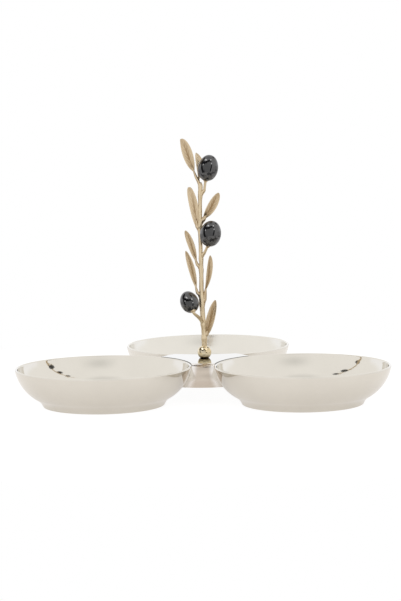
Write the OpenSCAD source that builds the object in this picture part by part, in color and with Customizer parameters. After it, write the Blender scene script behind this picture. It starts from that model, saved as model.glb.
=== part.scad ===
// Olive dish: three round bowls round a flat bridge, with an olive branch as its handle.
// Origin: on the handle's axis at the table. +Z is up and the back bowl lies towards +Y.

/* [Bowls] */
// Outer diameter of a bowl at its rim
bowl_d = 129.5; // [116:0.5:140]
// Height of the rim above the table
bowl_h = 28; // [26:0.5:34]
// Thickness of the bowl's wall
wall_t = 1.8; // [1.4:0.1:1.8]
// Thickness of the slim round bead along the rim
bead_d = 1.9; // [1.9:0.1:2.4]
// Radius of the wall's curve, seen from the side
wall_curve_r = 31.2; // [30:0.1:40]
// Outer diameter of the foot where it stands
foot_d = 89.2; // [76:0.2:92]
// How far the foot widens up to the wall
foot_flare = 1.8; // [1:0.1:3]
// Height of the foot below the wall's curve
foot_h = 4.1; // [3.5:0.1:5]
// Width of the foot's resting face
foot_w = 3.4; // [2.4:0.1:5]
// Hollow under the bowl's floor
foot_hollow = 1.6; // [1:0.1:1.8]
// Thickness of the bowl's floor
floor_t = 2.2; // [1.6:0.1:3]

/* [Bridge] */
// Narrowest gap between the rims of two bowls
rim_gap = 16.2; // [15:0.1:24]
// Thickness of the bridge's plate and skirts
bridge_t = 2.2; // [1.6:0.1:3]
// Distance from the handle's axis to the face of a skirt
skirt_reach = 44; // [40:0.5:48]
// Height of a skirt's lower edge above the table
skirt_z = 12; // [9:0.5:16]
// Radius of the rounded shoulder between plate and skirt
shoulder_r = 12; // [8:0.5:14]
// Braze-filled gap between the bridge and a bowl
braze_gap = 0.1; // [0.05:0.05:0.2]

/* [Fastening] */
// Diameter of the fixing screw's shank
screw_d = 4; // [3:0.1:5]
// Diameter of the screw's head
head_d = 8; // [7:0.1:10]
// Height of the screw's head
head_h = 2.6; // [2:0.1:3.5]
// Size across the flats of the key socket in the head
key_af = 2.5; // [2:0.1:3]
// Depth of the key socket
key_depth = 1.4; // [1:0.1:1.8]
// Length of the screw inside the ball
screw_grip = 4; // [3:0.1:4.4]
// Outer diameter of the washer
washer_d = 10; // [9:0.1:14]
// Thickness of the washer
washer_t = 0.8; // [0.5:0.1:1.5]
// Clearance round the shank
screw_clear = 0.1; // [0.05:0.05:0.3]

/* [Ball] */
// Diameter of the ball between the branch and the plate
ball_d = 10.5; // [10:0.1:13]
// Height cut off the ball where it rests on the plate
ball_cut = 0.75; // [0.4:0.05:1]
// Depth of the branch's seat in the ball
seat_depth = 4; // [3:0.1:4.2]
// Clearance round the branch in its seat
seat_clear = 0.05; // [0.03:0.01:0.1]

/* [Branch] */
// Length of the branch above the ball
branch_len = 122.5; // [105:0.5:140]
// Diameter of the branch where it enters the ball
branch_d = 4; // [3.6:0.1:4.6]
// Diameter of the branch at its top
twig_d = 2.8; // [2.6:0.1:3.4]
// How far a knuckle stands out from the branch
knuckle = 0.25; // [0.15:0.05:0.4]

/* [Leaves] */
// Thickness of a blade
blade_t = 1.1; // [0.8:0.1:1.4]
// Height of the bow along a blade
blade_bow = 1.2; // [0.8:0.1:1.6]
// Diameter of a leaf stalk
petiole_d = 1.8; // [1.7:0.1:2.2]
// Diameter of the midrib
midrib_d = 1.6; // [1.5:0.1:1.8]
// Part of the blade's length that the midrib runs along
midrib_share = 0.8; // [0.5:0.05:0.9]

/* [Olives] */
// Diameter of an olive stalk
stalk_d = 2; // [1.8:0.1:2.4]
// Diameter of the cup under an olive
cup_d = 3.6; // [3:0.1:4.4]
// Height of the cup under an olive
cup_h = 1.2; // [0.8:0.1:1.6]
// Radius of an olive's ends, as a share of its diameter
olive_end = 0.43; // [0.4:0.01:0.47]
// Height cut off an olive where it sits on its cup
olive_cut = 0.5; // [0.4:0.05:0.8]
// Length of the stalk's peg inside an olive
olive_peg = 4; // [3:0.1:5]

/* [Pegs] */
// Diameter of the pegs of leaves and stalks
peg_d = 1.4; // [1.2:0.1:1.5]
// Clearance round a peg in its hole
peg_clear = 0.05; // [0.03:0.01:0.1]
// Space between the branch and the bend of a stalk
bend_space = 0.5; // [0.4:0.05:0.8]

/* [Hidden] */
$fn = 96;

nickel = "#d6ccc0";
gold = "#b99b6d";
brass = "#cbb06a";
black = "#2c2c30";

// Directions, in degrees from +X, of the three bowls
back_at = 90;
left_at = 210;
right_at = 330;

// The bowl's wall is an arc through the rim and the top of the foot
bowl_r = bowl_d / 2;
foot_r = foot_d / 2;
foot_top_r = foot_r + foot_flare;
chord = [foot_top_r - bowl_r, foot_h - bowl_h];
chord_len = norm(chord);
arc_off = sqrt(wall_curve_r * wall_curve_r - chord_len * chord_len / 4);
arc_c = [
    (bowl_r + foot_top_r) / 2 + arc_off * chord[1] / chord_len,
    (bowl_h + foot_h) / 2 - arc_off * chord[0] / chord_len
];
bead_z = bowl_h - bead_d / 2;
bead_r = arc_c[0] + arc_reach(wall_curve_r - wall_t / 2, bead_z);
rim_r = bead_r + bead_d / 2;

// Radius that an arc about arc_c has reached, past its centre, at height z
function arc_reach(r, z) = sqrt(r * r - (arc_c[1] - z) * (arc_c[1] - z));

// Bowl centres stand this far from the handle's axis
spacing = 2 * rim_r + rim_gap;
bowl_at = spacing / sqrt(3);

plate_z = bowl_h - bridge_t;
washer_z = plate_z - washer_t;
ball_z = bowl_h + ball_d / 2 - ball_cut;
ball_top = ball_z + ball_d / 2;
seat_z = ball_top - seat_depth;

// The branch's way: share of its length, sideways drift and share of its taper
WAY = [
    [0, 0, 0], [0.09, 0, 0.05], [0.27, -1.4, 0.3], [0.46, -1.4, 0.75],
    [0.63, -1.7, 0.9], [0.77, -1.8, 0.8], [0.9, -1.4, 1], [1, -1, 1]
];
function way_point(i) = [WAY[i][1], 0, ball_top + WAY[i][0] * branch_len];
function way_r(i) = (branch_d + (twig_d - branch_d) * WAY[i][2]) / 2;
function branch_at(t) = [lookup(t, [for (w = WAY) [w[0], w[1]]]), 0, ball_top + t * branch_len];
function branch_r(t) = (branch_d + (twig_d - branch_d) * lookup(t, [for (w = WAY) [w[0], w[2]]])) / 2;
function heading(a, lean) = [sin(lean) * cos(a), sin(lean) * sin(a), cos(lean)];

// Leaves: place along the branch, direction, lean of the peg, lean of the leaf,
// length of its stalk, length and width of its blade, turn about its own length
top_leaf = [0.985, 182, 30, 20, 5, 26, 7.9, 8];
top_rear_leaf = [0.95, 110, 50, 15, 5, 21, 5.6, 75];
upper_left_leaf = [0.715, 186, 50, 10, 1.5, 28.7, 6, -12];
upper_right_leaf = [0.755, 4, 50, 28.5, 3.5, 19.4, 6, 15];
middle_left_leaf = [0.475, 172, 50, 20, 3, 24.3, 5, 14];
lower_left_leaf = [0.3, 176, 50, 15.5, 5, 27.9, 5, -10];
lower_right_leaf = [0.265, 10, 50, 6.3, 13.5, 20.3, 4.6, 18];
bottom_right_leaf = [0.055, 355, 50, 13, 1.5, 25.2, 6, -8];

// Olives: place along the branch, direction, lean of the peg, lean and length of the stalk,
// lean, length and diameter of the olive
top_olive = [0.925, 335, 50, 11, 7.1, 13, 19.6, 15];
middle_olive = [0.544, 320, 50, 34, 6.2, 16, 19.6, 15.8];
low_olive = [0.14, 200, 50, 27, 5.4, 30, 17.4, 13.7];
STEMMED = [
    top_leaf, top_rear_leaf, upper_left_leaf, upper_right_leaf,
    middle_left_leaf, lower_left_leaf, lower_right_leaf, bottom_right_leaf,
    top_olive, middle_olive, low_olive
];

// A stalk bends where it has cleared the branch
function bend_len(p, d) = (branch_r(p[0]) + knuckle + d / 2 + bend_space) / sin(p[2]);
function bend_at(p, d) = branch_at(p[0]) + bend_len(p, d) * heading(p[1], p[2]);
function olive_base(p) = bend_at(p, stalk_d) + (p[4] + cup_h) * heading(p[1], p[3]);

// Puts its children at a point with their Z along a direction and lean
module along(point, a, lean) {
    translate(point)
        rotate([0, lean, a])
            children();
}

// Round bar from a point, along a direction and lean
module bar(point, a, lean, d, len) {
    along(point, a, lean)
        cylinder(d = d, h = len);
}

// Half section of a bowl: flared foot, floor, curved wall and rim bead
module bowl_section() {
    polygon([
        [foot_r - foot_w, 0], [foot_r, 0],
        [foot_top_r, foot_h], [foot_r - foot_w, foot_h]
    ]);
    translate([0, foot_hollow])
        square([foot_r - foot_w / 2, floor_t]);
    intersection() {
        difference() {
            translate(arc_c)
                circle(r = wall_curve_r);
            translate(arc_c)
                circle(r = wall_curve_r - wall_t);
        }
        translate([arc_c[0], foot_hollow])
            square([bowl_r, bead_z - foot_hollow]);
    }
    translate([bead_r, bead_z])
        circle(d = bead_d);
}

module bowl(a) {
    color(nickel)
        rotate(a)
            translate([bowl_at, 0, 0])
                rotate_extrude()
                    bowl_section();
}

// The room that a bowl takes out of the bridge
module bowl_room(a) {
    rotate(a)
        translate([bowl_at, 0, 0])
            rotate_extrude()
                union() {
                    intersection() {
                        translate(arc_c)
                            circle(r = wall_curve_r + braze_gap);
                        square([bowl_d, bead_z]);
                    }
                    translate([0, bead_z])
                        square([rim_r + braze_gap, bowl_h]);
                }
}

// Half outline of the bridge from the side, rounded where the plate turns down
module cap_side(reach, top, r) {
    square([reach - r, top]);
    square([reach, top - r]);
    translate([reach - r, top - r])
        circle(r = r);
}

// Half section of the bridge: a round cap, open below
module cap_section() {
    difference() {
        intersection() {
            cap_side(skirt_reach, bowl_h, shoulder_r);
            translate([0, skirt_z])
                square([skirt_reach, bowl_h]);
        }
        cap_side(skirt_reach - bridge_t, plate_z, shoulder_r - bridge_t);
    }
}

// The cap, cut away by the bowls to a plate with three arms that turn down into skirts
module bridge() {
    color(nickel)
        difference() {
            rotate_extrude()
                cap_section();
            for (a = [back_at, left_at, right_at])
                bowl_room(a);
            translate([0, 0, skirt_z])
                cylinder(d = screw_d + 2 * screw_clear, h = bowl_h);
        }
}

module fixing_screw() {
    color(brass)
        difference() {
            union() {
                translate([0, 0, washer_z - head_h])
                    cylinder(d = head_d, h = head_h);
                translate([0, 0, washer_z - head_h])
                    cylinder(d = screw_d, h = head_h + washer_t + bridge_t + screw_grip);
            }
            translate([0, 0, washer_z - 2 * head_h])
                cylinder(d = key_af / cos(30), h = head_h + key_depth, $fn = 6);
        }
}

module washer() {
    color(brass)
        translate([0, 0, washer_z])
            difference() {
                cylinder(d = washer_d, h = washer_t);
                translate([0, 0, -washer_t])
                    cylinder(d = screw_d + 2 * screw_clear, h = 3 * washer_t);
            }
}

module ball_knop() {
    color(brass)
        difference() {
            translate([0, 0, ball_z])
                sphere(d = ball_d);
            translate([0, 0, bowl_h - ball_d])
                cylinder(d = 2 * ball_d, h = ball_d);
            translate([0, 0, plate_z])
                cylinder(d = screw_d + 2 * screw_clear, h = bridge_t + screw_grip + screw_clear);
            translate([0, 0, seat_z])
                cylinder(d = branch_d + 2 * seat_clear, h = ball_d);
        }
}

// One tapered length of the branch, from one point of its way to the next
module branch_length(i) {
    run = way_point(i + 1) - way_point(i);
    translate(way_point(i))
        rotate([0, atan2(run[0], run[2]), 0])
            cylinder(r1 = way_r(i), r2 = way_r(i + 1), h = norm(run));
}

module branch_stem() {
    color(gold)
        difference() {
            union() {
                translate([0, 0, seat_z])
                    cylinder(d = branch_d, h = seat_depth);
                for (i = [0 : len(WAY) - 2])
                    branch_length(i);
                for (i = [1 : len(WAY) - 1])
                    translate(way_point(i))
                        sphere(r = way_r(i) + knuckle);
            }
            for (p = STEMMED)
                bar(branch_at(p[0]), p[1], p[2], peg_d + 2 * peg_clear, branch_d * 2);
        }
}

// The peg in the branch, and the stalk from its shoulder beside the branch to its bend
module peg(p, d) {
    run = heading(p[1], p[2]);
    shoulder = (branch_r(p[0]) + knuckle + d / 2 * cos(p[2])) / sin(p[2]) + peg_clear;
    bar(branch_at(p[0]) + peg_clear * run, p[1], p[2], peg_d, shoulder);
    bar(branch_at(p[0]) + shoulder * run, p[1], p[2], d, bend_len(p, d) - shoulder);
    translate(bend_at(p, d))
        sphere(d = d + peg_clear);
}

// Pointed blade, bowed along its length, standing on its base with its face towards Y
module blade(len, w) {
    side_r = (len * len + w * w) / (4 * w);
    bow_r = (len * len / 4 + blade_bow * blade_bow) / (2 * blade_bow);
    bow_c = [bow_r - blade_bow, len / 2];
    half_angle = asin(len / 2 / bow_r);
    intersection() {
        rotate([90, 0, 0])
            linear_extrude(height = 4 * (blade_bow + blade_t), center = true)
                intersection() {
                    translate([side_r - w / 2, len / 2])
                        circle(r = side_r);
                    translate([w / 2 - side_r, len / 2])
                        circle(r = side_r);
                }
        translate([0, bow_c[0], bow_c[1]])
            rotate([0, 90, 0])
                difference() {
                    cylinder(r = bow_r + blade_t / 2, h = 2 * w, center = true);
                    cylinder(r = bow_r - blade_t / 2, h = 3 * w, center = true);
                }
    }
    translate([0, bow_c[0], bow_c[1]])
        rotate([-90 - half_angle, 0, 0])
            rotate([0, 90, 0])
                rotate_extrude(angle = 2 * half_angle * midrib_share)
                    translate([bow_r, 0])
                        circle(d = midrib_d);
}

module leaf(p) {
    color(gold) {
        peg(p, petiole_d);
        along(bend_at(p, petiole_d), p[1], p[3]) {
            cylinder(d = petiole_d, h = p[4] + petiole_d);
            translate([0, 0, p[4]])
                rotate(p[7])
                    blade(p[5], p[6]);
        }
    }
}

module olive_stalk(p) {
    color(gold) {
        peg(p, stalk_d);
        along(bend_at(p, stalk_d), p[1], p[3])
            cylinder(d = stalk_d, h = p[4] + cup_h / 2);
        along(olive_base(p), p[1], p[5]) {
            translate([0, 0, -cup_h])
                cylinder(d1 = stalk_d, d2 = cup_d, h = cup_h);
            cylinder(d = peg_d, h = olive_peg);
        }
    }
}

// Oval section of an olive: two end arcs joined by flatter side arcs
module olive_section(len, d) {
    end_r = olive_end * d;
    end_z = len / 2 - end_r;
    side_r = (d * d / 4 + end_z * end_z - end_r * end_r) / (d - 2 * end_r);
    join_z = end_z * side_r / (side_r - end_r);
    for (z = [-end_z, end_z])
        translate([0, z])
            circle(r = end_r);
    intersection() {
        translate([side_r - d / 2, 0])
            circle(r = side_r);
        translate([d / 2 - side_r, 0])
            circle(r = side_r);
        square([d, 2 * join_z], center = true);
    }
}

module olive(p) {
    color(black)
        along(olive_base(p), p[1], p[5])
            difference() {
                translate([0, 0, p[6] / 2 - olive_cut])
                    rotate_extrude()
                        intersection() {
                            olive_section(p[6], p[7]);
                            translate([0, olive_cut - p[6] / 2])
                                square([p[7], p[6]]);
                        }
                translate([0, 0, -peg_d])
                    cylinder(d = peg_d + 2 * peg_clear, h = peg_d + olive_peg + peg_clear);
            }
}

bowl(back_at);  // back_bowl
bowl(left_at);  // left_bowl
bowl(right_at);  // right_bowl
bridge();
fixing_screw();
washer();
ball_knop();
branch_stem();
leaf(top_leaf);
leaf(top_rear_leaf);
leaf(upper_left_leaf);
leaf(upper_right_leaf);
leaf(middle_left_leaf);
leaf(lower_left_leaf);
leaf(lower_right_leaf);
leaf(bottom_right_leaf);
olive_stalk(top_olive);  // top_olive_stalk
olive_stalk(middle_olive);  // middle_olive_stalk
olive_stalk(low_olive);  // low_olive_stalk
olive(top_olive);
olive(middle_olive);
olive(low_olive);
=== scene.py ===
import math

import bmesh
import bpy
from mathutils import Matrix, Vector


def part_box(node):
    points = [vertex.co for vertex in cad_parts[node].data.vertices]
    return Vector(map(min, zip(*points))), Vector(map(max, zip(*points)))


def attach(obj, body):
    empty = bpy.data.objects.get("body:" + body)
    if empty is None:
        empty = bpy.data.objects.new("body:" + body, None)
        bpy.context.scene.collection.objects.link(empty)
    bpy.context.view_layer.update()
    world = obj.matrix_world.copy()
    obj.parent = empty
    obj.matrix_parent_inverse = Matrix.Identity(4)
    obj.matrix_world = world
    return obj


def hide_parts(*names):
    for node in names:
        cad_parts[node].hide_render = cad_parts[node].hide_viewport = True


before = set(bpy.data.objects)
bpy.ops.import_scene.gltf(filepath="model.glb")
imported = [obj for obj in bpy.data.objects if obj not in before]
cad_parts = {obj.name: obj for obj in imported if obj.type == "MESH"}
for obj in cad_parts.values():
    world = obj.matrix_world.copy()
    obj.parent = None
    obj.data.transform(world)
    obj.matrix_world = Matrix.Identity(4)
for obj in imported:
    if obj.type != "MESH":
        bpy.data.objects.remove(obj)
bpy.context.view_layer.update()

# Lengths below are in millimetres, in the CAD frame; meshes are made in metres.
MM = 0.001

# Driving dimensions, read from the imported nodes.
BOWL_LOW, BOWL_HIGH = (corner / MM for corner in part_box("back_bowl"))
BALL_LOW, BALL_HIGH = (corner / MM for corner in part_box("ball_knop"))
STEM_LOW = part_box("branch_stem")[0] / MM
BRIDGE_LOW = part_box("bridge")[0] / MM
RIM_R = (BOWL_HIGH.x - BOWL_LOW.x) / 2
BOWL_H = BOWL_HIGH.z
BOWL_AT = (BOWL_HIGH.y + BOWL_LOW.y) / 2
SKIRT_Z = BRIDGE_LOW.z
SKIRT_REACH = -BRIDGE_LOW.y

# Bowl section.
WALL_T = 1.8
ARC_R = 31.2
ARC_C = (33.9, 32.69)
FOOT_R = 44.6
FOOT_FLARE = 1.8
FOOT_W = 3.4
FOOT_H = 4.1
FOOT_BLEND = 2.4
HOLLOW_Z = 1.6
FLOOR_Z = 3.8
FLOOR_BLEND = 6.0
EDGE_R = 0.35
BOWL_TURNS = {"back_bowl": 90, "left_bowl": 210, "right_bowl": 330}
BOWL_SEGMENTS = 224
WALL_STEPS = 34
CORNER_STEPS = 12

# Bridge: a plate with three arms that turn down into skirts. The plate has more rows where the rims part,
# and SIDE_FROM is its first row with sides.
PLATE_T = 2.2
PLATE_RISE = 0.3
SHOULDER_R = 12.0
BRAZE_GAP = 0.1
SCREW_HOLE_R = 2.15
ARM_TURNS = (30, 150, 270)
ARM_ACROSS = 28
PLATE_STEPS = (
    4.0, 8.0, 12.0, 16.0, 19.12, 19.16, 19.25, 19.4, 19.7, 20.2, 21.1, 22.5, 24.5, 27.0, 30.0,
)
SIDE_FROM = 5
SHOULDER_STEPS = 40
SKIRT_STEPS = 8
CREASE = 35
# The plate is polished and the skirts are satin; they meet between these shares of an arm's reach.
SKIRT_AT = (0.70, 0.80)
PLATE_POLISH = 0.014
SKIRT_SATIN = 0.17
# Painted light: the skirts' paler edges are a painted highlight, and the plate top's paler tint is a
# painted reflection.
SKIRT_EDGE_PAINTED_HIGHLIGHT = (0.86, 0.83, 0.80, 1.0)
PLATE_TOP_PAINTED_REFLECTION = (0.72, 0.71, 0.67, 1.0)
# Least and most roughness of the front bowls and of the back bowl.
SPUN_ROUGH = (0.045, 0.085)
HAZY_ROUGH = (0.16, 0.21)

# Ball.
BALL_CUT = 0.75
BALL_R = (BALL_HIGH.x - BALL_LOW.x) / 2
BALL_C = BALL_LOW.z - BALL_CUT + BALL_R
BALL_TOP = BALL_C + BALL_R
BALL_BORE_R = 2.02
BALL_SEGMENTS = 64

# Branch: share of its length, drift along X, radius.
BRANCH_LEN = 122.5
SEAT_R = 1.98
WAY = (
    (0.0, 0.0, 2.0), (0.09, -0.1, 1.97), (0.27, -1.4, 1.82), (0.46, -1.4, 1.55),
    (0.63, -1.7, 1.46), (0.77, -1.8, 1.52), (0.9, -1.4, 1.4), (1.0, -1.0, 1.4),
)
STEM_SECTIONS = 28
BARK = 0.035
# Knuckles: height in the CAD, how much of it shows here, how far below a stalk they lie, how long they are.
KNUCKLE = 0.25
KNUCKLE_SHOWS = 1.4
KNUCKLE_BELOW = 0.012
KNUCKLE_LONG = 0.016

# Stalks of leaves and olives.
BEND_SPACE = 0.5
PETIOLE_R = 0.9
STALK_R = 1.0
CUP_R = 1.8
CUP_H = 1.2
CUP_SEGMENTS = 24
PETIOLE_SECTIONS, STALK_SECTIONS = 18, 16
# How far down the branch an olive's stalk starts, and how far a leaf's stalk runs on as the midrib.
STALK_MERGE = 0.022
MIDRIB_RUN = 6.0

# Blades: thickness, and its share at the middle and the edge; then the grooved midrib, the side veins,
# the rolled edge and the cupping.
BLADE_T = 1.1
BLADE_BOW = 1.2
BLADE_ALONG, BLADE_ACROSS = 46, 22
THICK_MIDDLE, THICK_EDGE = 0.46, 0.2
RIB_WIDE = 0.38
RIB_FRONT, RIB_BACK = 0.26, 0.34
VEIN_COUNT = 7.5
VEIN_SLANT = 2.1
VEIN_FRONT, VEIN_BACK = 0.07, 0.05
ROLL_AT, ROLL_WIDE, ROLL_HIGH = 0.88, 0.09, 0.16
CUPPING = 0.3

# Leaves: place, direction, peg lean, leaf lean, stalk, blade length and width, turn. Some differ from the
# CAD's by a few millimetres, to follow the photo more closely.
LEAVES = {
    "top_leaf": (0.985, 182, 30, 20, 5, 26, 7.9, 8),
    "top_rear_leaf": (0.95, 110, 50, 15, 5, 21, 5.6, 75),
    "upper_left_leaf": (0.715, 186, 50, 10, -1.0, 31.2, 6.7, -12),
    "upper_right_leaf": (0.755, 4, 50, 28.5, 1.0, 21.9, 7.2, 15),
    "middle_left_leaf": (0.475, 172, 50, 18, 2.5, 24.8, 5.3, -6),
    "lower_left_leaf": (0.3, 176, 50, 14, 4.0, 28.9, 5.2, -10),
    "lower_right_leaf": (0.265, 10, 50, 7.5, 7.5, 26.3, 5.0, 18),
    "bottom_right_leaf": (0.055, 355, 50, 15.5, -1.0, 27.7, 6.6, -8),
}

# How each blade looks: its front side, how slender it is towards the base, the left tip and the right tip,
# bend and hook to the right in millimetres, twist, stalk radius, how far the stalk runs down the branch,
# how much paler it is painted than the rest, as painted light, and how much nearer the branch it bends.
BLADES = {
    "top_leaf": (1, 0.75, 0.9, 0.4, 0.4, -1.0, 8, 1.0, 0.03, 0.1, 0.0),
    "top_rear_leaf": (1, 1.0, 0.7, 0.7, 2.2, 0.2, 10, 0.8, 0.03, 0.6, 0.0),
    "upper_left_leaf": (1, 0.55, 0.45, 0.4, 0.4, -0.4, -6, 1.5, 0.04, 0.18, 1.0),
    "upper_right_leaf": (-1, 0.65, 0.55, 0.6, 0.2, 0.8, 10, 1.6, 0.03, 0.0, 0.6),
    "middle_left_leaf": (1, 0.75, 0.6, 0.55, 0.3, -0.3, 9, 1.1, 0.04, 0.06, 0.3),
    "lower_left_leaf": (1, 0.75, 0.65, 0.6, 0.4, -0.3, -8, 1.1, 0.05, 0.03, 0.3),
    "lower_right_leaf": (-1, 0.85, 0.6, 0.55, 0.4, 0.2, 7, 1.6, 0.07, -0.02, 1.5),
    "bottom_right_leaf": (-1, 0.55, 0.6, 0.55, 0.4, 0.0, -8, 1.5, 0.02, -0.06, 1.7),
}

# Olives: place, direction, peg lean, stalk lean and length, olive lean, length, diameter.
OLIVES = {
    "top_olive": (0.925, 335, 50, 11, 7.1, 13, 19.6, 15),
    "middle_olive": (0.544, 320, 50, 34, 6.2, 16, 19.6, 15.8),
    "low_olive": (0.14, 200, 50, 27, 5.4, 30, 17.4, 13.7),
}
OLIVE_CUT = 0.5
OLIVE_SEGMENTS, OLIVE_STEPS = 72, 44
# How much an olive swells towards its base, and the power that rounds its ends.
OLIVE_SWELL = 0.045
OLIVE_ROUND = 0.94
# How much of the gloss the dull spots take from the lower half of an olive.
OLIVE_DULL = 0.8
# How much stouter than the rest each olive's stalk and cup are.
STOUT = {"top_olive": 1.15, "middle_olive": 1.15, "low_olive": 1.25}
# The low olive is turned on its centre, so that its cup shows: direction and lean of its axis.
TURNED = {"low_olive": (123, 40.5)}

# Studio: brightness by direction. Areas and lamps are left, right, low and high in degrees from the
# camera's side, and areas end with how soft they are; strokes of the frame end with their width.
FLOOR_R = 0.34
FLOOR_DROP = 0.0002
# The floor's glow: its brightness in mirrors and to the camera, and its share of the floor's look there.
FLOOR_GLOW = (1.05, 1.1)
GLOW_MIRRORED, GLOW_SEEN = 0.55, 0.85
AROUND = (1.02, 1.01, 1.0, 1.0)
BELOW = (0.72, 0.71, 0.70, 1.0)
ABOVE = (0.86, 0.85, 0.84, 1.0)
CAMERA_SIDE = (0.74, 0.735, 0.725, 1.0)
CAMERA_SIDE_AREA = (-6, 28, 25, 42, 18)
BACKDROP = (1.10, 1.11, 1.15, 1.0)
BACKDROP_AREAS = ((-180, -108, 0, 12, 5), (108, 180, 0, 12, 5))
FRAME_DARK = (0.015, 0.015, 0.015, 1.0)
FRAME_INSIDE = (0.66, 0.66, 0.66, 1.0)
FRAME_AREA = (-62, 38, -50, 40, 2)
FRAME_SOFT = 2
FRAME = (
    (-50, -84, -32, 22, 26), (-88, -126, 20, 52, 44), (28, 42, -32, 14, 15),
    (-84, -84, 24, 40, 26), (-58, -58, 25, 44, 32), (-30, -30, 30, 50, 28), (-4, -4, 38, 56, 26),
    (20, 20, 40, 56, 24), (38, 38, 30, 44, 14), (132, 132, 34, 52, 26),
)
LAMP = (5.0, 5.0, 5.0, 1.0)
LAMPS = ((-76, -40, 51, 60), (34, 56, 49, 58), (-69, -60, 19, 25), (36, 44, 19, 27))

# Camera, fitted to the three rims.
IMAGE_H = 601
SENSOR = 36.0
FOCAL_PX = 1865.6
CAMERA_FAR = 1400.0
CAMERA_AIM = (-2.36, 0.0, 71.61)
CAMERA_RISE = 5.869
CAMERA_ROLL = -0.876
CAMERA_YAW = 2.028


def lerp(a, b, t):
    return a + (b - a) * t


def smoothstep(low, high, x):
    t = min(1.0, max(0.0, (x - low) / (high - low)))
    return t * t * (3 - 2 * t)


def arc(centre, r, start, end, steps):
    """Points of an arc in the section plane, from one angle in degrees to another."""
    turns = [math.radians(lerp(start, end, i / steps)) for i in range(steps + 1)]
    return [(centre[0] + r * math.cos(a), centre[1] + r * math.sin(a)) for a in turns]


def heading(turn, lean):
    a, b = math.radians(turn), math.radians(lean)
    return Vector((math.sin(b) * math.cos(a), math.sin(b) * math.sin(a), math.cos(b)))


def leaning(point, turn, lean, spin=0.0):
    """Frame whose Z runs along a direction and lean, as the CAD places leaves and olives."""
    turned = Matrix.Rotation(math.radians(turn), 4, "Z") @ Matrix.Rotation(math.radians(lean), 4, "Y")
    return Matrix.Translation(point) @ turned @ Matrix.Rotation(math.radians(spin), 4, "Z")


class Shell:
    """Vertices and faces of one piece, in millimetres, with a shade value at each vertex."""

    def __init__(self):
        self.verts = []
        self.faces = []
        self.uvs = []
        self.shade = []

    def point(self, co, uv=(0.0, 0.0), shade=0.5):
        self.verts.append(Vector(co))
        self.uvs.append(uv)
        self.shade.append(shade)
        return len(self.verts) - 1

    def grid(self, rows, wrap=False):
        """Quads between rows of vertex numbers."""
        for low, high in zip(rows, rows[1:]):
            last = len(low) if wrap else len(low) - 1
            for i in range(last):
                j = (i + 1) % len(low)
                self.faces.append((low[i], low[j], high[j], high[i]))

    def cap(self, row, centre, flip=False):
        for i in range(len(row)):
            pair = (row[i], row[(i + 1) % len(row)])
            self.faces.append((pair[1], pair[0], centre) if flip else (pair[0], pair[1], centre))


def lathe(shell, profile, segments, place=None, wave=None):
    """Turns a profile of (r, z) points, from outside round to inside, about Z."""
    place = place or Matrix.Identity(4)
    rows = []
    count = len(profile)
    for k, (r, z) in enumerate(profile):
        if r < 1e-6:
            rows.append([shell.point(place @ Vector((0, 0, z)), (0.5, k / count))])
            continue
        row = []
        for i in range(segments):
            a = 2 * math.pi * i / segments
            rr = r + (wave(a, z, r) if wave else 0.0)
            co = place @ Vector((rr * math.cos(a), rr * math.sin(a), z))
            row.append(shell.point(co, (i / segments, k / count)))
        rows.append(row)
    for low, high in zip(rows, rows[1:]):
        if len(low) == 1:
            shell.cap(high, low[0], flip=True)
        elif len(high) == 1:
            shell.cap(low, high[0])
        else:
            shell.grid([low, high], wrap=True)
    return rows


def tube(shell, path, sections, shape, shade=None):
    """Sweeps a closed section along a path; shape(k, angle) gives (radius, squash) there."""
    tangents = []
    for k in range(len(path)):
        ahead = path[min(k + 1, len(path) - 1)]
        behind = path[max(k - 1, 0)]
        tangents.append((ahead - behind).normalized())
    side = (Vector((1, 0, 0)) - tangents[0] * tangents[0].x).normalized()
    rows = []
    for k, point in enumerate(path):
        side = (side - tangents[k] * side.dot(tangents[k])).normalized()
        front = tangents[k].cross(side)
        row = []
        for i in range(sections):
            a = 2 * math.pi * i / sections
            r, squash = shape(k, a)
            co = point + side * (r * math.cos(a)) + front * (r * squash * math.sin(a))
            painted_light_and_tone = shade(k, a) if shade else 0.5
            row.append(shell.point(co, (i / sections, k / len(path)), painted_light_and_tone))
        rows.append(row)
    shell.grid(rows, wrap=True)
    first = shell.point(path[0], (0.5, 0.0))
    last = shell.point(path[-1], (0.5, 1.0))
    shell.cap(rows[0], first, flip=True)
    shell.cap(rows[-1], last)


def curve_through(points, steps):
    """Smooth path through points (Catmull-Rom)."""
    padded = [points[0] * 2 - points[1]] + list(points) + [points[-1] * 2 - points[-2]]
    path = []
    for i in range(1, len(padded) - 2):
        p0, p1, p2, p3 = padded[i - 1:i + 3]
        for s in range(steps):
            t = s / steps
            path.append(0.5 * (
                2 * p1 + (p2 - p0) * t + (2 * p0 - 5 * p1 + 4 * p2 - p3) * t * t
                + (3 * p1 - 3 * p2 + p3 - p0) * t * t * t
            ))
    path.append(points[-1].copy())
    return path


def make(name, shell, material, node, at=(0.0, 0.0, 0.0)):
    """Object from a shell, with its origin at a point; it rides on the frame in place of a CAD node."""
    mesh = bpy.data.meshes.new(name)
    centre = Vector(at)
    mesh.from_pydata([(v - centre) * MM for v in shell.verts], [], shell.faces)
    mesh.validate()
    layer = mesh.uv_layers.new(name="UVMap")
    for loop in mesh.loops:
        layer.data[loop.index].uv = shell.uvs[loop.vertex_index]
    painted_light_and_tone = mesh.attributes.new("painted_light_and_tone", "FLOAT", "POINT")
    painted_light_and_tone.data.foreach_set("value", shell.shade)
    bm = bmesh.new()
    bm.from_mesh(mesh)
    bmesh.ops.recalc_face_normals(bm, faces=bm.faces)
    bm.to_mesh(mesh)
    bm.free()
    mesh.polygons.foreach_set("use_smooth", [True] * len(mesh.polygons))
    piece = bpy.data.objects.new(name, mesh)
    piece.location = centre * MM
    mesh.materials.append(material)
    bpy.context.scene.collection.objects.link(piece)
    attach(piece, "root")
    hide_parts(node)
    return piece


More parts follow.
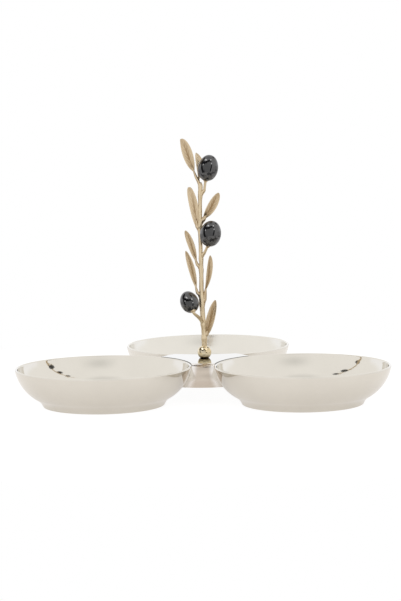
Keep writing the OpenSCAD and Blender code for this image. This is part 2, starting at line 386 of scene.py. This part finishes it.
def sharpen(piece, degrees):
    """Keeps edges sharper than an angle crisp under smooth shading."""
    bm = bmesh.new()
    bm.from_mesh(piece.data)
    limit = math.radians(degrees)
    for edge in bm.edges:
        if len(edge.link_faces) == 2:
            edge.smooth = edge.calc_face_angle(0.0) < limit
    bm.to_mesh(piece.data)
    bm.free()


# Materials


class Tree:
    """Short way to add nodes: a socket given as a value is linked, anything else is set."""

    def __init__(self, tree):
        self.tree = tree
        tree.nodes.clear()

    def add(self, kind, sockets=None, **settings):
        made = self.tree.nodes.new(kind)
        for key, value in settings.items():
            setattr(made, key, value)
        for key, value in (sockets or {}).items():
            if isinstance(value, bpy.types.NodeSocket):
                self.tree.links.new(value, made.inputs[key])
            else:
                made.inputs[key].default_value = value
        return made

    def math(self, operation, a, b=0.0):
        return self.add("ShaderNodeMath", {0: a, 1: b}, operation=operation).outputs[0]

    def ramp(self, value, low, high, to_low=0.0, to_high=1.0):
        made = self.add(
            "ShaderNodeMapRange",
            {"Value": value, "From Min": low, "From Max": high, "To Min": to_low, "To Max": to_high},
            interpolation_type="SMOOTHSTEP",
        )
        return made.outputs["Result"]

    def mix(self, factor, a, b):
        made = self.add("ShaderNodeMix", {0: factor, 6: a, 7: b}, data_type="RGBA")
        return made.outputs[2]

    def noise(self, vector, scale, detail=3.0, rough=0.5):
        made = self.add(
            "ShaderNodeTexNoise", {"Vector": vector, "Scale": scale, "Detail": detail, "Roughness": rough}
        )
        return made.outputs["Fac"]

    def stretch(self, vector, scale):
        made = self.add("ShaderNodeMapping", {"Vector": vector, "Scale": scale})
        return made.outputs["Vector"]

    def coordinate(self, name):
        return self.add("ShaderNodeTexCoord").outputs[name]

    def bump(self, height, strength, distance):
        made = self.add("ShaderNodeBump", {"Height": height, "Strength": strength, "Distance": distance})
        return made.outputs["Normal"]


def surface(name):
    """New material with a Principled shader: its tree and shader."""
    material = bpy.data.materials.new(name)
    material.use_nodes = True
    tree = Tree(material.node_tree)
    shader = tree.add("ShaderNodeBsdfPrincipled")
    tree.add("ShaderNodeOutputMaterial", {"Surface": shader.outputs[0]})
    return material, tree, shader


def rgb(r, g, b):
    return (r, g, b, 1.0)


def link(tree, shader, **sockets):
    for key, value in sockets.items():
        tree.tree.links.new(value, shader.inputs[key.replace("_", " ")])


def nickel_material(name, light, deep, spun=None):
    """Warm mirror nickel, with slight haze and tint drift.

    A spun bowl gives its least and most roughness and has faint turning marks. The bridge gives none: its
    plate is polished, with a paler tint as painted reflection, and its skirts are satin with paler edges as
    painted highlight.
    """
    material, tree, shader = surface(name)
    place = tree.coordinate("Object")
    haze = tree.noise(place, 38.0, 4.0, 0.55)
    tint = tree.mix(tree.ramp(haze, 0.3, 0.7), light, deep)
    if spun:
        rough = tree.ramp(haze, 0.25, 0.75, *spun)
        x, y, _ = tree.add("ShaderNodeSeparateXYZ", {0: place}).outputs
        square = tree.math("ADD", tree.math("POWER", x, 2.0), tree.math("POWER", y, 2.0))
        radius = tree.math("SQRT", square)
        rings = tree.noise(tree.add("ShaderNodeCombineXYZ", {0: radius}).outputs[0], 2600.0, 2.0)
        normal = tree.bump(rings, 0.05, 0.00004)
    else:
        across, reach, _ = tree.add("ShaderNodeSeparateXYZ", {0: tree.coordinate("UV")}).outputs
        edge = tree.math("ABSOLUTE", tree.math("SUBTRACT", across, 0.5))
        skirt = tree.ramp(reach, *SKIRT_AT)
        # Painted light: the plate top is tinted paler than the skirts as a painted reflection, and the
        # skirts' side edges are paler still as a painted highlight.
        painted_edge_highlight = tree.math("MULTIPLY", skirt, tree.ramp(edge, 0.2, 0.42))
        tint = tree.mix(painted_edge_highlight, tree.mix(skirt, PLATE_TOP_PAINTED_REFLECTION, tint), SKIRT_EDGE_PAINTED_HIGHLIGHT)
        satin = tree.ramp(reach, *SKIRT_AT, PLATE_POLISH, SKIRT_SATIN)
        rough = tree.math("MULTIPLY", satin, tree.ramp(haze, 0.25, 0.75, 0.8, 1.4))
        normal = tree.bump(tree.noise(tree.stretch(place, (40, 900, 900)), 2.0), 0.05, 0.00004)
    link(tree, shader, Base_Color=tint, Roughness=rough, Normal=normal)
    shader.inputs["Metallic"].default_value = 1.0
    return material


def gold_material(name, pale, deep, grain):
    """Satin champagne gold of the cast branch: lengthwise grain, with painted shade in hollows and painted
    highlight on edges and ridges.
    """
    material, tree, shader = surface(name)
    place = tree.coordinate("Object")
    strand = tree.noise(tree.stretch(tree.coordinate("UV"), (grain, 3.0, 1.0)), 1.0, 4.0, 0.6)
    cast = tree.noise(place, 420.0, 4.0, 0.6)
    painted_light_and_tone = tree.add("ShaderNodeAttribute", attribute_name="painted_light_and_tone").outputs["Fac"]
    blend = tree.math("ADD", tree.math("MULTIPLY", painted_light_and_tone, 0.7), tree.math("MULTIPLY", strand, 0.5))
    tint = tree.mix(tree.ramp(blend, 0.25, 0.85), deep, pale)
    rough = tree.ramp(cast, 0.3, 0.7, 0.2, 0.36)
    height = tree.math("ADD", strand, tree.math("MULTIPLY", cast, 0.6))
    link(tree, shader, Base_Color=tint, Roughness=rough, Normal=tree.bump(height, 0.35, 0.0003))
    shader.inputs["Metallic"].default_value = 1.0
    return material


def brass_material():
    """Polished brass of the ball, tarnished in patches, and darker towards its foot as painted shade."""
    material, tree, shader = surface("polished_brass")
    place = tree.coordinate("Object")
    patch = tree.noise(place, 260.0, 4.0, 0.6)
    tint = tree.mix(tree.ramp(patch, 0.35, 0.7), rgb(0.84, 0.74, 0.54), rgb(0.62, 0.49, 0.28))
    height = tree.add("ShaderNodeSeparateXYZ", {0: place}).outputs[2]
    # Painted shade: the ball darkens towards its foot, where it sits on the plate.
    foot = tree.math("ADD", height, tree.math("MULTIPLY", tree.noise(place, 420.0, 2.0), 0.004))
    tint = tree.mix(tree.ramp(foot, 0.0012, -0.0020), tint, rgb(0.10, 0.07, 0.025))
    link(tree, shader, Base_Color=tint, Normal=tree.bump(tree.noise(place, 260.0), 0.06, 0.0003))
    shader.inputs["Roughness"].default_value = 0.0
    shader.inputs["Metallic"].default_value = 1.0
    return material


def braze_and_gap_shadow_material():
    """Dark braze in the joint between the bridge and the bowls, and painted shadow of the gap there."""
    material, tree, shader = surface("dark_braze_and_gap_shadow")
    grit = tree.noise(tree.coordinate("Object"), 900.0, 4.0, 0.6)
    tint = tree.mix(tree.ramp(grit, 0.3, 0.7), rgb(0.27, 0.265, 0.25), rgb(0.40, 0.39, 0.37))
    link(tree, shader, Base_Color=tint, Roughness=tree.ramp(grit, 0.3, 0.7, 0.45, 0.7))
    link(tree, shader, Normal=tree.bump(grit, 0.3, 0.0001))
    shader.inputs["Metallic"].default_value = 0.7
    return material


def black_material():
    """High-gloss black nickel of the olives: an uneven cast skin, with dull spots on its lower half."""
    material, tree, shader = surface("black_gloss")
    place = tree.coordinate("Object")
    skin = tree.noise(place, 180.0, 3.0, 0.5)
    tint = tree.mix(tree.ramp(skin, 0.35, 0.7), rgb(0.004, 0.004, 0.005), rgb(0.014, 0.014, 0.015))
    link(tree, shader, Base_Color=tint, Roughness=tree.ramp(skin, 0.3, 0.7, 0.2, 0.4))
    link(tree, shader, Coat_Normal=tree.bump(tree.noise(place, 240.0, 2.0), 0.18, 0.0003))
    height = tree.add("ShaderNodeSeparateXYZ", {0: place}).outputs[2]
    spots = tree.ramp(tree.noise(place, 330.0, 3.0, 0.6), 0.50, 0.60)
    dull = tree.math("MULTIPLY", spots, tree.ramp(height, 0.001, -0.005, 0.0, OLIVE_DULL))
    link(tree, shader, Coat_Weight=tree.math("SUBTRACT", 1.0, dull))
    shader.inputs["Specular IOR Level"].default_value = 0.0
    shader.inputs["Coat Roughness"].default_value = 0.0
    shader.inputs["Coat IOR"].default_value = 1.95
    return material


# Pieces


def wall_r(z, r):
    """Distance of a bowl's wall from its axis at a height, on an arc of radius r."""
    return ARC_C[0] + math.sqrt(r * r - (ARC_C[1] - z) ** 2)


def round_corner(start, corner, end, steps):
    """Points of a soft turn from one point to another round a corner."""
    points = []
    for i in range(steps + 1):
        t = i / steps
        weights = ((1 - t) ** 2, 2 * t * (1 - t), t * t)
        points.append(tuple(sum(w * p[k] for w, p in zip(weights, (start, corner, end))) for k in (0, 1)))
    return points


def rise_of(z, r):
    """Angle about the wall's centre at which an arc of radius r has a height."""
    return math.degrees(math.asin((z - ARC_C[1]) / r))


def bowl_profile():
    """Section of a bowl from the middle of its floor, over the rim and the foot, to the middle below."""
    inner, middle = ARC_R - WALL_T, ARC_R - WALL_T / 2
    lip_z = BOWL_H - WALL_T / 2
    lip = rise_of(lip_z, middle)
    lip_c = arc(ARC_C, middle, lip, lip, 1)[0]
    corner = (wall_r(FLOOR_Z, inner), FLOOR_Z)
    rise = rise_of(FLOOR_Z, inner) + math.degrees(FLOOR_BLEND / inner)
    flat_r = corner[0] - FLOOR_BLEND
    points = [(flat_r * i / 6, FLOOR_Z) for i in range(6)]
    points += round_corner((flat_r, FLOOR_Z), corner, arc(ARC_C, inner, rise, rise, 1)[0], CORNER_STEPS)
    points += arc(ARC_C, inner, rise, lip, WALL_STEPS)[1:]
    points += arc(lip_c, WALL_T / 2, lip + 180, lip, 18)[1:]
    foot_top = (FOOT_R + FOOT_FLARE, FOOT_H)
    low = rise_of(FOOT_H + FOOT_BLEND, ARC_R)
    points += arc(ARC_C, ARC_R, lip, low, WALL_STEPS)[1:]
    part = 1 - FOOT_BLEND / FOOT_H
    foot_side = (FOOT_R + FOOT_FLARE * part, FOOT_H * part)
    points += round_corner(points[-1], foot_top, foot_side, CORNER_STEPS)[1:]
    points += arc((FOOT_R - EDGE_R, EDGE_R), EDGE_R, 20, -90, 6)
    inside = FOOT_R - FOOT_W
    points += arc((inside + EDGE_R, EDGE_R), EDGE_R, -90, -180, 5)
    points += round_corner((inside, HOLLOW_Z - EDGE_R), (inside, HOLLOW_Z), (inside - EDGE_R, HOLLOW_Z), 3)
    points += [(inside * i / 4, HOLLOW_Z) for i in (3, 2, 1, 0)]
    return points


def bowls(polished, hazy):
    """Three spun bowls; the back one is hazier, since the photo shows no mirror image in it."""
    profile = bowl_profile()
    for name, turn in BOWL_TURNS.items():
        a = math.radians(turn)
        centre = Vector((BOWL_AT * math.cos(a), BOWL_AT * math.sin(a), 0))
        shell = Shell()
        lathe(shell, profile, BOWL_SEGMENTS, Matrix.Translation(centre))
        material = hazy if name == "back_bowl" else polished
        make(name + "_spun", shell, material, name, centre)


def bowl_outside(z):
    """Radius of the room a bowl takes at a height."""
    return min(RIM_R, wall_r(min(z, BOWL_H), ARC_R)) + BRAZE_GAP


def arm_half_angle(reach, z):
    """Half of the turn that an arm takes, at a reach and height, between the two bowls beside it."""
    room = bowl_outside(z)
    cosine = (reach ** 2 + BOWL_AT ** 2 - room ** 2) / (2 * reach * BOWL_AT)
    return 60.0 if cosine >= 1 else 60.0 - math.degrees(math.acos(cosine))


def arm_path(drop):
    """Reach and height along an arm's skin, drop below its outside: plate, shoulder, skirt."""
    top = BOWL_H + PLATE_RISE
    bend = SKIRT_REACH - SHOULDER_R
    points = [(reach, top - drop) for reach in PLATE_STEPS]
    points += arc((bend, top - SHOULDER_R), SHOULDER_R - drop, 90, 0, SHOULDER_STEPS)
    low = top - SHOULDER_R
    for i in range(1, SKIRT_STEPS + 1):
        points.append((SKIRT_REACH - drop, lerp(low, SKIRT_Z, i / SKIRT_STEPS)))
    return points


def arm_rows(shell, drop, turn):
    """Vertex rows of one skin of an arm, from the screw hole outwards."""
    rows = []
    for reach, z in [(SCREW_HOLE_R, BOWL_H + PLATE_RISE - drop)] + arm_path(drop):
        half = arm_half_angle(reach, z)
        row = []
        for i in range(ARM_ACROSS + 1):
            a = math.radians(turn + lerp(-half, half, i / ARM_ACROSS))
            co = (reach * math.cos(a), reach * math.sin(a), z)
            row.append(shell.point(co, (i / ARM_ACROSS, reach / SKIRT_REACH)))
        rows.append(row)
    return rows


def bridge(material, seam_and_gap_shadow):
    """Plate whose three arms turn down into skirts; its sides, along the bowls, show the dark braze and
    painted shadow of the gap.
    """
    shell = Shell()
    sides = []
    for turn in ARM_TURNS:
        top = arm_rows(shell, 0.0, turn)
        under = arm_rows(shell, PLATE_T, turn)
        shell.grid(top)
        shell.grid([row[::-1] for row in under])
        shell.grid([under[0], top[0]])
        shell.grid([top[-1], under[-1]])
        first = len(shell.faces)
        for side in (0, ARM_ACROSS):
            strip = range(SIDE_FROM, len(top))
            shell.grid([[top[k][side] for k in strip], [under[k][side] for k in strip]])
        sides += range(first, len(shell.faces))
    piece = make("bridge_plate", shell, material, "bridge")
    piece.data.materials.append(seam_and_gap_shadow)
    for number in sides:
        piece.data.polygons[number].material_index = 1
    weld(piece, 0.02)
    sharpen(piece, CREASE)


def ball(material):
    """Ball with a flat foot, bored for the branch."""
    bore = BALL_BORE_R
    top = math.degrees(math.acos(bore / BALL_R))
    low = -math.degrees(math.asin((BALL_C - BOWL_H) / BALL_R))
    profile = arc((0, BALL_C), BALL_R, top, low + 2, 40)
    foot = profile[-1]
    profile += [(foot[0] - 0.12, BOWL_H), (bore + 0.2, BOWL_H), (bore, BOWL_H + 0.2), (bore, profile[0][1])]
    shell = Shell()
    rows = lathe(shell, profile, BALL_SEGMENTS)
    shell.grid([rows[-1], rows[0]], wrap=True)
    make("ball_turned", shell, material, "ball_knop", (0, 0, BALL_C))


def way_at(t):
    """The two points of the branch's way on either side of a share of its length, and the share between."""
    for low, high in zip(WAY, WAY[1:]):
        if t <= high[0]:
            break
    return low, high, (t - low[0]) / (high[0] - low[0])


def branch_at(t):
    low, high, share = way_at(t)
    return Vector((lerp(low[1], high[1], share), 0, BALL_TOP + t * BRANCH_LEN))


def branch_r(t):
    low, high, share = way_at(t)
    return lerp(low[2], high[2], min(1.0, max(0.0, share)))


def stem(material):
    """The branch: a tapered stem with knuckles where leaves and olives leave it, and a ridged bark."""
    points = [Vector((0, 0, STEM_LOW.z))] + [branch_at(w[0]) for w in WAY]
    path = curve_through(points, 16)
    nodes = [part[0] for part in LEAVES.values()] + [part[0] for part in OLIVES.values()]

    def shape(k, a):
        t = (path[k].z - BALL_TOP) / BRANCH_LEN
        if t < 0.004:
            return SEAT_R, 1.0
        r = branch_r(min(t, 1.0))
        for n in nodes:
            r += KNUCKLE * KNUCKLE_SHOWS * math.exp(-((t - n + KNUCKLE_BELOW) / KNUCKLE_LONG) ** 2)
        bark = math.sin(5 * a + 26 * t) + 0.7 * math.sin(3 * a - 61 * t + 1.3)
        bark += 0.5 * math.sin(8 * a + 140 * t)
        r *= 1 + BARK * bark * smoothstep(0.0, 0.03, t)
        tip = 1 - smoothstep(0.985, 1.0, t) * 0.45
        return r * tip, 1.0

    # Painted light: the bark is paler on its ridges and darker in its grooves, and the stem is darker at
    # its left and right sides than at its front and back, as painted highlight and painted shade; the bands
    # along it are tone.
    def shade(k, a):
        t = (path[k].z - BALL_TOP) / BRANCH_LEN
        return 0.62 + 0.22 * math.sin(5 * a + 26 * t) + 0.12 * math.sin(47 * t) - 0.2 * math.cos(2 * a)

    shell = Shell()
    tube(shell, path, STEM_SECTIONS, shape, shade)
    make("stem_cast", shell, material, "branch_stem", branch_at(0.5))


def bend_at(part, r, nearer=0.0):
    """Where a stalk has cleared the branch and turns up."""
    reach = (branch_r(part[0]) + KNUCKLE + r + BEND_SPACE - nearer) / math.sin(math.radians(part[2]))
    return branch_at(part[0]) + reach * heading(part[1], part[2])


def stalk_path(part, r, length, merge=STALK_MERGE, nearer=0.0):
    """Path of a stalk: along the branch, out of it, round its bend and on along its lean."""
    bend = bend_at(part, r, nearer)
    along = heading(part[1], part[3])
    out = branch_at(part[0]).lerp(bend, 0.55)
    outward = heading(part[1], 90)
    low = branch_at(max(0.0, part[0] - merge))
    start = [low + outward * (0.2 * branch_r(part[0]))]
    if merge > 0.08:
        start.append(branch_at(part[0] - 0.5 * merge) + outward * (0.75 * branch_r(part[0])))
    points = start + [out, bend + along * 0.5, bend + along * (0.5 * length + 0.5), bend + along * length]
    return curve_through(points, 8)


def half_width(v, base, tip):
    """Half width of a blade as a share of its most, v from base to tip; small powers make blunt ends."""
    most = base / (base + tip)
    return (v / most) ** base * ((1 - v) / (1 - most)) ** tip


def blade_spot(part, look, face, u, v):
    """Spot on a blade's face, in the blade's frame, and its shade; u runs across, v from base to tip."""
    length, width = part[5:7]
    front, base, left_tip, right_tip, curve, hook, twist = look[:7]
    edge = abs(u)
    tip = right_tip if front * u < 0 else left_tip
    half = width / 2 * half_width(0.012 + 0.98 * v, base, tip)
    x = u * half
    thick = 0.0 if edge > 0.999 else lerp(THICK_MIDDLE, THICK_EDGE, edge ** 2) * BLADE_T * (1 - 0.4 * v)
    cup = front * CUPPING * half * edge ** 1.8 * smoothstep(0.0, 0.25, v)
    rib = math.exp(-((x / RIB_WIDE) ** 2)) * (1 - v) ** 0.6
    roll = math.exp(-(((edge - ROLL_AT) / ROLL_WIDE) ** 2)) * smoothstep(0.5, 1.6, half)
    vein = math.cos(2 * math.pi * (VEIN_COUNT * v - VEIN_SLANT * edge))
    vein = vein * smoothstep(0.06, 0.2, edge) * (1 - edge)
    skin = face * thick + cup
    if face == front:
        skin += front * (-RIB_FRONT * rib + VEIN_FRONT * vein + ROLL_HIGH * roll)
    else:
        skin += -front * (RIB_BACK * rib + VEIN_BACK * vein)
    turned = Matrix.Rotation(math.radians(twist) * (v - 0.35), 3, "Z") @ Vector((x, skin, 0))
    sideways = -front * (curve * 4 * v * (1 - v) + hook * v ** 3)
    bow = -BLADE_BOW * 4 * v * (1 - v) + 0.5 * front * v ** 3
    # Painted light: paler edges and raised veins are painted highlight; the darker midrib, vein furrows and
    # base are painted shade, and look[9] paints some leaves paler than others; the streaks are tone.
    groove_shade = rib if face == front else 0.3 * rib
    streak = math.sin(9 * v + 5 * u) * (1 - edge)
    painted_light_and_tone = 0.42 + 0.5 * edge ** 3 - 0.4 * groove_shade + 0.16 * vein + 0.12 * streak - 0.12 * (1 - v) + look[9]
    return Vector((turned.x + sideways, turned.y + bow, v * length)), painted_light_and_tone


def blade(shell, place, part, look):
    """Blade with rolled edges, a grooved midrib, side veins, cupping and twist."""
    rows = {1: [], -1: []}
    for j in range(BLADE_ALONG + 1):
        v = j / BLADE_ALONG
        for face in (1, -1):
            row = []
            for i in range(BLADE_ACROSS + 1):
                u = -1 + 2 * i / BLADE_ACROSS
                spot, painted_light_and_tone = blade_spot(part, look, face, u, v)
                row.append(shell.point(place @ spot, (0.5 + 0.5 * u, v), painted_light_and_tone))
            rows[face].append(row)
    shell.grid(rows[1])
    shell.grid([row[::-1] for row in rows[-1]])
    shell.grid([rows[-1][0], rows[1][0]])
    shell.grid([rows[1][-1], rows[-1][-1]])


def petiole(shell, part, look):
    """Leaf stalk that runs up out of the branch and on under the blade as its midrib."""
    radius, merge = look[7:9]
    path = stalk_path(part, PETIOLE_R, max(part[4], 0.0) + MIDRIB_RUN, merge, look[10])
    last = len(path) - 1

    def shape(k, a):
        t = k / last
        r = radius * lerp(0.5, 1.25, smoothstep(0.0, 0.3, t)) * lerp(1.0, 0.8, smoothstep(0.3, 0.6, t))
        r *= lerp(1.0, 0.12, smoothstep(0.5, 1.0, t))
        return r * (1 + 0.05 * math.sin(4 * a + 7 * t)), lerp(1.0, 0.75, t)

    # Painted highlight and painted shade: paler and darker stripes round the stalk; the bands along it are
    # tone.
    def shade(k, a):
        return 0.55 + 0.2 * math.sin(3 * a) + 0.1 * math.sin(17 * k / last)

    tube(shell, path, PETIOLE_SECTIONS, shape, shade)


def leaves(material):
    for name, part in LEAVES.items():
        bend = bend_at(part, PETIOLE_R, BLADES[name][10])
        turn, lean, stalk = part[1], part[3], part[4]
        shell = Shell()
        petiole(shell, part, BLADES[name])
        place = leaning(bend, turn, lean) @ Matrix.Translation((0, 0, stalk))
        place = place @ Matrix.Rotation(math.radians(part[7]), 4, "Z")
        blade(shell, place, part, BLADES[name])
        piece = make(name + "_cast", shell, material, name, bend)
        weld(piece, 0.01)


def weld(piece, gap):
    """Joins vertices that lie within a gap, in millimetres."""
    bm = bmesh.new()
    bm.from_mesh(piece.data)
    bmesh.ops.remove_doubles(bm, verts=bm.verts, dist=gap * MM)
    bmesh.ops.recalc_face_normals(bm, faces=bm.faces)
    bm.to_mesh(piece.data)
    bm.free()


def olive_base(part):
    return bend_at(part, STALK_R) + (part[4] + CUP_H) * heading(part[1], part[3])


def olive_profile(length, diameter):
    """Slightly egg-shaped olive on its base plane, dimpled where the cup holds it."""
    points = []
    for i in range(OLIVE_STEPS + 1):
        a = math.pi * i / OLIVE_STEPS - math.pi / 2
        z = length / 2 + length / 2 * math.sin(a) - OLIVE_CUT
        swell = 1 - OLIVE_SWELL * math.sin(a)
        r = diameter / 2 * abs(math.cos(a)) ** OLIVE_ROUND * swell
        points.append((r if 0 < i < OLIVE_STEPS else 0.0, z))
    points[0] = (0.0, OLIVE_CUT * 0.4)
    points[1] = (points[1][0], OLIVE_CUT * 0.1)
    return points[::-1]


def olives(black, gold):
    for name, part in OLIVES.items():
        base = olive_base(part)
        place = leaning(base, part[1], part[5])
        if name in TURNED:
            middle = Vector((0, 0, part[6] / 2 - OLIVE_CUT))
            place = leaning(place @ middle, *TURNED[name]) @ Matrix.Translation(-middle)
        shell = Shell()
        lathe(shell, olive_profile(part[6], part[7]), OLIVE_SEGMENTS, place)
        make(name + "_glossy", shell, black, name, place @ Vector((0, 0, part[6] / 2)))
        olive_stalk(name, part, place, gold)


def olive_stalk(name, part, place, material):
    """Stalk from the branch to the cup that holds an olive."""
    stout = STOUT[name]
    shell = Shell()
    path = stalk_path(part, STALK_R, part[4] + 0.4)
    if name in TURNED:
        end = [place @ Vector((0, 0, -depth)) for depth in (2.4, 0.6 * CUP_H)]
        start = [branch_at(part[0] - 0.02), branch_at(part[0] + 0.005).lerp(end[0], 0.3)]
        path = curve_through(start + end, 8)
    last = len(path) - 1

    def shape(k, a):
        t = k / last
        ridge = 1 + 0.05 * math.sin(3 * a + 5 * t)
        r = lerp(0.6, 1.2, smoothstep(0.0, 0.25, t)) * lerp(1.0, 0.7, smoothstep(0.25, 0.7, t))
        return r * ridge * stout, 1.0

    # Painted highlight on the stalk's ridges and painted shade in the grooves between them.
    def shade(k, a):
        return 0.6 + 0.2 * math.sin(3 * a + 5 * k / last)

    tube(shell, path, STALK_SECTIONS, shape, shade)
    cup = [
        (0.0, 0.55), (1.2, 0.6), (1.62, 0.55), (CUP_R, 0.3), (1.72, -0.1), (1.35, -0.7), (1.0, -CUP_H),
        (0.85, -CUP_H - 0.4), (0.0, -CUP_H - 0.5),
    ]
    cup = [(r * stout, z) for r, z in cup]
    lathe(shell, cup, CUP_SEGMENTS, place, lambda a, z, r: 0.06 * r * math.sin(5 * a))
    make(name + "_stalk_cast", shell, material, name + "_stalk", bend_at(part, STALK_R))


# Stage, light and camera


def floor():
    """Pale floor: lit brightly enough to read white, with the object's soft shadow left on it."""
    mesh = bpy.data.meshes.new("floor")
    bm = bmesh.new()
    bmesh.ops.create_circle(bm, cap_ends=True, segments=96, radius=FLOOR_R)
    bm.to_mesh(mesh)
    bm.free()
    sheet = bpy.data.objects.new("floor", mesh)
    sheet.location = (0, 0, -FLOOR_DROP)
    bpy.context.scene.collection.objects.link(sheet)
    material = bpy.data.materials.new("pale_floor")
    material.use_nodes = True
    tree = Tree(material.node_tree)
    path = tree.add("ShaderNodeLightPath").outputs
    seen = path["Is Camera Ray"]
    mirrored = tree.math("MAXIMUM", path["Is Glossy Ray"], path["Is Transmission Ray"])
    grain = tree.noise(tree.coordinate("Object"), 30.0)
    paper = tree.mix(grain, rgb(0.90, 0.89, 0.88), rgb(0.92, 0.91, 0.90))
    matte = tree.add("ShaderNodeBsdfDiffuse", {"Color": paper})
    tint = tree.mix(seen, rgb(1.0, 0.965, 0.945), rgb(1, 1, 1))
    bright = tree.ramp(seen, 0.0, 1.0, *FLOOR_GLOW)
    glow = tree.add("ShaderNodeEmission", {"Color": tint, "Strength": bright})
    in_mirrors = tree.math("MULTIPLY", mirrored, GLOW_MIRRORED)
    share = tree.math("ADD", in_mirrors, tree.math("MULTIPLY", seen, GLOW_SEEN))
    both = tree.add("ShaderNodeMixShader", {0: share, 1: matte.outputs[0], 2: glow.outputs[0]})
    tree.add("ShaderNodeOutputMaterial", {"Surface": both.outputs[0]})
    mesh.materials.append(material)


def band(tree, value, low, high, soft):
    """1 between two angles in degrees, with soft ends."""
    low, high, soft = (math.radians(x) for x in (low, high, soft))
    up = tree.ramp(value, low - soft, low + soft)
    down = tree.ramp(value, high - soft, high + soft, 1.0, 0.0)
    return tree.math("MULTIPLY", up, down)


def studio():
    """White studio by direction; only mirror-smooth pieces show its dark frame and lamps."""
    world = bpy.data.worlds.new("studio")
    world.use_nodes = True
    tree = Tree(world.node_tree)
    x, y, z = tree.add("ShaderNodeSeparateXYZ", {0: tree.coordinate("Generated")}).outputs
    turn = tree.math("ARCTAN2", x, tree.math("MULTIPLY", y, -1.0))
    rise = tree.math("ARCSINE", z)

    def area(left, right, low, high, soft):
        return tree.math("MULTIPLY", band(tree, turn, left, right, soft), band(tree, rise, low, high, soft))

    def stroke(left, right, low, high, wide):
        """Straight stroke from (left, low) to (right, high), with its width in degrees."""
        slope = (right - left) / (high - low)
        lean = tree.math("SUBTRACT", turn, tree.math("MULTIPLY", rise, slope))
        middle = left - slope * low
        across = band(tree, lean, middle - wide / 2, middle + wide / 2, FRAME_SOFT)
        return tree.math("MULTIPLY", across, band(tree, rise, low, high, FRAME_SOFT))

    behind = tree.ramp(tree.math("ABSOLUTE", turn), math.radians(60), math.radians(110))
    ground = tree.mix(behind, AROUND, BELOW)
    room = tree.mix(tree.ramp(rise, 0.0, 0.06), ground, AROUND)
    room = tree.mix(tree.ramp(rise, math.radians(70), math.radians(85)), room, ABOVE)
    room = tree.mix(area(*CAMERA_SIDE_AREA), room, CAMERA_SIDE)
    for part in BACKDROP_AREAS:
        room = tree.mix(area(*part), room, BACKDROP)
    sharp = tree.mix(area(*FRAME_AREA), room, FRAME_INSIDE)
    for part in FRAME:
        sharp = tree.mix(stroke(*part), sharp, FRAME_DARK)
    for lamp in LAMPS:
        sharp = tree.mix(area(*lamp, FRAME_SOFT), sharp, LAMP)
    path = tree.add("ShaderNodeLightPath").outputs
    light = tree.mix(path["Is Singular Ray"], room, sharp)
    light = tree.mix(path["Is Camera Ray"], light, rgb(1, 1, 1))
    sky = tree.add("ShaderNodeBackground", {"Color": light, "Strength": 1.0})
    tree.add("ShaderNodeOutputWorld", {"Surface": sky.outputs[0]})
    bpy.context.scene.world = world


def camera():
    """Camera of the photo, with its rise, roll and yaw."""
    rise, roll = math.radians(CAMERA_RISE), math.radians(CAMERA_ROLL)
    back = Vector((0, -math.cos(rise), math.sin(rise)))
    right = Vector((1, 0, 0))
    up = Vector((0, math.sin(rise), math.cos(rise)))
    rolled = right * math.cos(roll) + up * math.sin(roll)
    upright = up * math.cos(roll) - right * math.sin(roll)
    eye = (Vector(CAMERA_AIM) + back * CAMERA_FAR) * MM
    pose = Matrix((rolled, upright, back)).transposed().to_4x4()
    pose.translation = eye
    lens = bpy.data.cameras.new("camera")
    lens.sensor_width = SENSOR
    lens.lens = FOCAL_PX * SENSOR / IMAGE_H
    lens.clip_start = 0.05
    lens.clip_end = 50.0
    eye_object = bpy.data.objects.new("camera", lens)
    eye_object.matrix_world = Matrix.Rotation(math.radians(CAMERA_YAW), 4, "Z") @ pose
    bpy.context.scene.collection.objects.link(eye_object)
    bpy.context.scene.camera = eye_object


def dress_fasteners(material):
    """The screw and washer keep their CAD shape."""
    for name in ("fixing_screw", "washer"):
        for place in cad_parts[name].material_slots:
            place.material = material


camera()
studio()
floor()
nickel_spun = nickel_material("spun_nickel", rgb(0.75, 0.72, 0.655), rgb(0.73, 0.70, 0.635), SPUN_ROUGH)
# The back bowl's nickel is tinted paler than the front bowls', as painted light.
nickel_hazy_painted_paler = nickel_material("hazy_painted_paler_nickel", rgb(0.785, 0.76, 0.70), rgb(0.765, 0.74, 0.68), HAZY_ROUGH)
nickel_plate = nickel_material("plate_nickel", rgb(0.60, 0.53, 0.455), rgb(0.57, 0.50, 0.425))
braze_and_gap_shadow = braze_and_gap_shadow_material()
satin_leaf = gold_material("satin_gold_leaf", rgb(0.67, 0.545, 0.375), rgb(0.29, 0.19, 0.093), 9.0)
satin_bark = gold_material("satin_gold_bark", rgb(0.69, 0.572, 0.394), rgb(0.394, 0.287, 0.156), 5.0)
brass = brass_material()
bowls(nickel_spun, nickel_hazy_painted_paler)
bridge(nickel_plate, braze_and_gap_shadow)
ball(brass)
stem(satin_bark)
leaves(satin_leaf)
olives(black_material(), satin_bark)
dress_fasteners(brass)

view = bpy.context.scene.view_settings
view.view_transform = "Standard"
